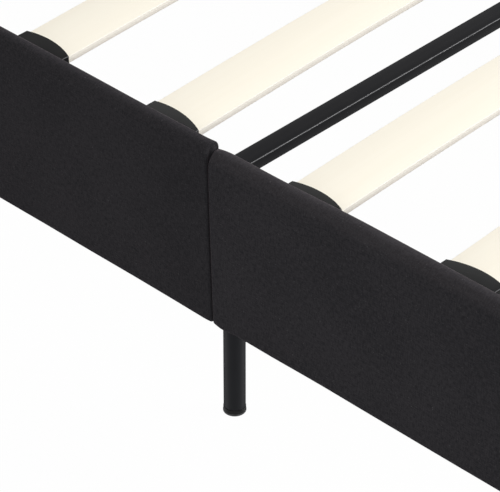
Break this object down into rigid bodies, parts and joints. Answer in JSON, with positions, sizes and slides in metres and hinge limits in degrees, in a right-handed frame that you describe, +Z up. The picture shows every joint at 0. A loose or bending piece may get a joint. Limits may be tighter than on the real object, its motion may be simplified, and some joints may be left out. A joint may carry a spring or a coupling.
{
  "type": "bed frame",
  "caption": "Upholstered single bed frame on a steel tube frame with round legs, a cross tube and bowed wooden slats in plastic end caps.",
  "frame": {"origin": "on the floor, under the middle of the bed", "axes": "+X towards the foot end, +Y across the bed to the right side as seen from the foot, +Z up"},
  "size_m": [1.956, 1.042, 0.378],
  "materials": {
    "coated_steel": "satin black powder coat",
    "bolt_steel": "black zinc",
    "upholstery": "woven charcoal fabric over thin foam",
    "panel_board": "raw particle board",
    "slat_wood": "satin birch ply, pale cream",
    "black_plastic": "matt, fine grain"
  },
  "bodies": {
    "frame": {"rail_board_left_foot": "panel_board", "rail_cover_left_foot": "upholstery", "side_tube_left_foot": "coated_steel", "rail_board_left_head": "panel_board", "rail_cover_left_head": "upholstery", "side_tube_left_head": "coated_steel", "joint_plate_left": "coated_steel", "cross_bolt_left": "bolt_steel", "rail_board_right_foot": "panel_board", "rail_cover_right_foot": "upholstery", "side_tube_right_foot": "coated_steel", "rail_board_right_head": "panel_board", "rail_cover_right_head": "upholstery", "side_tube_right_head": "coated_steel", "joint_plate_right": "coated_steel", "cross_bolt_right": "bolt_steel", "foot_board": "panel_board", "foot_cover": "upholstery", "foot_frame": "coated_steel", "head_board": "panel_board", "head_cover": "upholstery", "head_frame": "coated_steel", "cross_tube": "coated_steel", "leg_foot_left": "coated_steel", "glide_foot_left": "black_plastic", "leg_foot_right": "coated_steel", "glide_foot_right": "black_plastic", "leg_middle_left": "coated_steel", "glide_middle_left": "black_plastic", "leg_middle_right": "coated_steel", "glide_middle_right": "black_plastic", "leg_head_left": "coated_steel", "glide_head_left": "black_plastic", "leg_head_right": "coated_steel", "glide_head_right": "black_plastic"},
    "slat_set_1": {"slat_1": "slat_wood", "slat_cap_1_left": "black_plastic", "slat_cap_1_right": "black_plastic"},
    "slat_set_2": {"slat_2": "slat_wood", "slat_cap_2_left": "black_plastic", "slat_cap_2_right": "black_plastic"},
    "slat_set_3": {"slat_3": "slat_wood", "slat_cap_3_left": "black_plastic", "slat_cap_3_right": "black_plastic"},
    "slat_set_4": {"slat_4": "slat_wood", "slat_cap_4_left": "black_plastic", "slat_cap_4_right": "black_plastic"},
    "slat_set_5": {"slat_5": "slat_wood", "slat_cap_5_left": "black_plastic", "slat_cap_5_right": "black_plastic"},
    "slat_set_6": {"slat_6": "slat_wood", "slat_cap_6_left": "black_plastic", "slat_cap_6_right": "black_plastic"},
    "slat_set_7": {"slat_7": "slat_wood", "slat_cap_7_left": "black_plastic", "slat_cap_7_right": "black_plastic"},
    "slat_set_8": {"slat_8": "slat_wood", "slat_cap_8_left": "black_plastic", "slat_cap_8_right": "black_plastic"}
  },
  "joints": [
    {"name": "slat_1_lift", "type": "slide", "parent": "frame", "child": "slat_set_1", "axis": [0, 0, 1], "range_m": [0, 0.08]},
    {"name": "slat_2_lift", "type": "slide", "parent": "frame", "child": "slat_set_2", "axis": [0, 0, 1], "range_m": [0, 0.08]},
    {"name": "slat_3_lift", "type": "slide", "parent": "frame", "child": "slat_set_3", "axis": [0, 0, 1], "range_m": [0, 0.08]},
    {"name": "slat_4_lift", "type": "slide", "parent": "frame", "child": "slat_set_4", "axis": [0, 0, 1], "range_m": [0, 0.08]},
    {"name": "slat_5_lift", "type": "slide", "parent": "frame", "child": "slat_set_5", "axis": [0, 0, 1], "range_m": [0, 0.08]},
    {"name": "slat_6_lift", "type": "slide", "parent": "frame", "child": "slat_set_6", "axis": [0, 0, 1], "range_m": [0, 0.08]},
    {"name": "slat_7_lift", "type": "slide", "parent": "frame", "child": "slat_set_7", "axis": [0, 0, 1], "range_m": [0, 0.08]},
    {"name": "slat_8_lift", "type": "slide", "parent": "frame", "child": "slat_set_8", "axis": [0, 0, 1], "range_m": [0, 0.08]}
  ]
}
